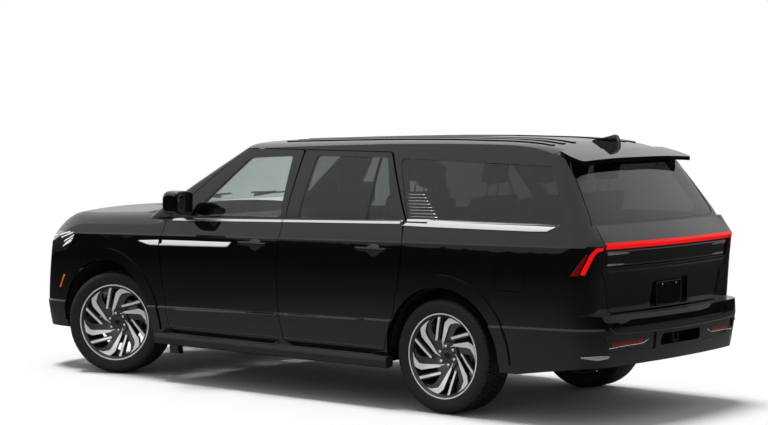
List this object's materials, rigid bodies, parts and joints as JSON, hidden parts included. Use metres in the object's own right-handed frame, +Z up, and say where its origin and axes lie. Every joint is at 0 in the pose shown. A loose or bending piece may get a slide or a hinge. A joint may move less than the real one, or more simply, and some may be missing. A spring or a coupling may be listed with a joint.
{
  "type": "long-wheelbase full-size suv",
  "caption": "Long full-size suv with side doors, roof-hinged tailgate, steered front wheels, hollow cabin with rows of seats and a separate ladder frame underneath.",
  "frame": {"origin": "on the ground under the middle of the car's length and width", "axes": "+X towards the front bumper, +Y towards the car's left side, +Z up"},
  "size_m": [5.6334, 2.39, 1.9395],
  "materials": {
    "paint": "gloss",
    "dark_metal": "satin",
    "underbody": "matte",
    "glass": "gloss",
    "dark_glass": "gloss",
    "black_plastic": "satin",
    "lamp_clear": "gloss",
    "lamp_red": "gloss",
    "alloy": "machined",
    "tyre": "matte",
    "seat": "matte",
    "trim": "matte"
  },
  "bodies": {
    "body": {"chassis_frame": "dark_metal", "floor_pan": "underbody", "body_sides": "paint", "roof_panel": "paint", "windscreen": "glass", "quarter_windows": "dark_glass", "front_fenders": "paint", "front_bumper": "paint", "grille": "black_plastic", "headlamps": "lamp_clear", "cowl": "black_plastic", "rear_bumper": "paint", "tail_lamps": "lamp_red", "running_boards": "black_plastic", "wheel_liners": "black_plastic", "engine": "dark_metal", "front_arms": "dark_metal", "rear_suspension": "dark_metal", "exhaust": "underbody", "front_seats": "seat", "middle_seats": "seat", "rear_bench": "seat", "dashboard": "trim", "steering_wheel": "trim"},
    "bonnet": {"bonnet": "paint"},
    "tailgate": {"tailgate": "paint", "tailgate_glass": "dark_glass", "light_bar": "lamp_red"},
    "fuel_flap": {"fuel_flap": "paint"},
    "front_door_left": {"front_door_left": "paint", "front_glass_left": "glass"},
    "front_door_right": {"front_door_right": "paint", "front_glass_right": "glass"},
    "rear_door_left": {"rear_door_left": "paint", "rear_glass_left": "dark_glass"},
    "rear_door_right": {"rear_door_right": "paint", "rear_glass_right": "dark_glass"},
    "knuckle_left": {"knuckle_left": "dark_metal"},
    "knuckle_right": {"knuckle_right": "dark_metal"},
    "wheel_front_left": {"rim_front_left": "alloy", "tyre_front_left": "tyre"},
    "wheel_front_right": {"rim_front_right": "alloy", "tyre_front_right": "tyre"},
    "wheel_rear_left": {"rim_rear_left": "alloy", "tyre_rear_left": "tyre"},
    "wheel_rear_right": {"rim_rear_right": "alloy", "tyre_rear_right": "tyre"}
  },
  "joints": [
    {"name": "steer_left", "type": "hinge", "parent": "body", "child": "knuckle_left", "pos_m": [1.868, 0.808, 0.405], "axis": [0, 0, 1], "range_deg": [-55, 15]},
    {"name": "steer_right", "type": "hinge", "parent": "body", "child": "knuckle_right", "pos_m": [1.868, -0.808, 0.405], "axis": [0, 0, 1], "range_deg": [-55, 15]},
    {"name": "spin_front_left", "type": "hinge", "parent": "knuckle_left", "child": "wheel_front_left", "pos_m": [1.85261, 0.85029, 0.405], "axis": [-0.342, 0.9397, 0], "continuous": true},
    {"name": "spin_front_right", "type": "hinge", "parent": "knuckle_right", "child": "wheel_front_right", "pos_m": [1.88339, -0.85029, 0.405], "axis": [-0.342, 0.9397, 0], "continuous": true},
    {"name": "spin_rear_left", "type": "hinge", "parent": "body", "child": "wheel_rear_left", "pos_m": [-1.475, 0.853, 0.405], "axis": [0, 1, 0], "continuous": true},
    {"name": "spin_rear_right", "type": "hinge", "parent": "body", "child": "wheel_rear_right", "pos_m": [-1.475, -0.853, 0.405], "axis": [0, 1, 0], "continuous": true},
    {"name": "front_door_left_hinge", "type": "hinge", "parent": "body", "child": "front_door_left", "pos_m": [1.24, 1.012, 0.8], "axis": [0, 0, -1], "range_deg": [0, 68]},
    {"name": "front_door_right_hinge", "type": "hinge", "parent": "body", "child": "front_door_right", "pos_m": [1.24, -1.012, 0.8], "axis": [0, 0, 1], "range_deg": [0, 68]},
    {"name": "rear_door_left_hinge", "type": "hinge", "parent": "body", "child": "rear_door_left", "pos_m": [0.03, 1.008, 0.8], "axis": [0, 0, -1], "range_deg": [0, 70]},
    {"name": "rear_door_right_hinge", "type": "hinge", "parent": "body", "child": "rear_door_right", "pos_m": [0.03, -1.008, 0.8], "axis": [0, 0, 1], "range_deg": [0, 70]},
    {"name": "bonnet_hinge", "type": "hinge", "parent": "body", "child": "bonnet", "pos_m": [1.552, 0, 1.345], "axis": [0, -1, 0], "range_deg": [0, 48]},
    {"name": "tailgate_hinge", "type": "hinge", "parent": "body", "child": "tailgate", "pos_m": [-2.187, 0, 1.874], "axis": [0, 1, 0], "range_deg": [0, 82]},
    {"name": "fuel_flap_hinge", "type": "hinge", "parent": "body", "child": "fuel_flap", "pos_m": [-1.9435, 1.0155, 0.989], "axis": [0, 0, -1], "range_deg": [0, 100]}
  ],
  "couplings": [
    {"joint": "steer_right", "follows": "steer_left", "ratio": 1}
  ]
}
